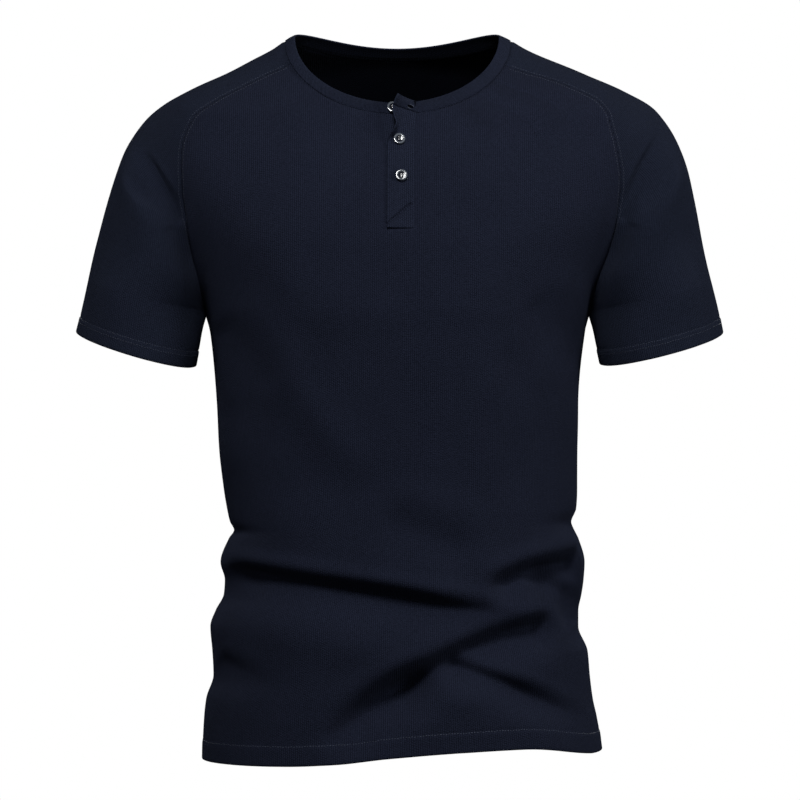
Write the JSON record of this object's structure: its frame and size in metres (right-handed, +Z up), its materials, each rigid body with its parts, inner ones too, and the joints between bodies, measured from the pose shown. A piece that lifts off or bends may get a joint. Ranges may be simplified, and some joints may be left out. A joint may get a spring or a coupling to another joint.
{
  "type": "henley shirt",
  "caption": "Short-sleeved raglan henley shirt in fine dark knit, worn and hollow, with a bound round neck and a buttoned placket whose top corner hangs open.",
  "frame": {"origin": "the middle of the neck, level with the binding's free edge at the neck's two sides, where the wearer's neck and shoulders hold the shirt", "axes": "+Z up along the wearer's body, +X to the right as seen from the front, -Y towards the front"},
  "size_m": [0.6263, 0.243, 0.7026],
  "materials": {
    "body_knit": "matte fine knit, dark navy",
    "sleeve_knit": "matte fine knit, dark navy",
    "trim_knit": "matte rib knit, dark navy",
    "button": "polished, with a pearly rim"
  },
  "bodies": {
    "root": {"front": "body_knit", "back": "body_knit", "sleeve_left": "sleeve_knit", "sleeve_right": "sleeve_knit", "placket_over": "trim_knit", "placket_under": "trim_knit", "neck_binding": "trim_knit", "button_1": "button", "button_2": "button", "button_3": "button"}
  },
  "joints": []
}
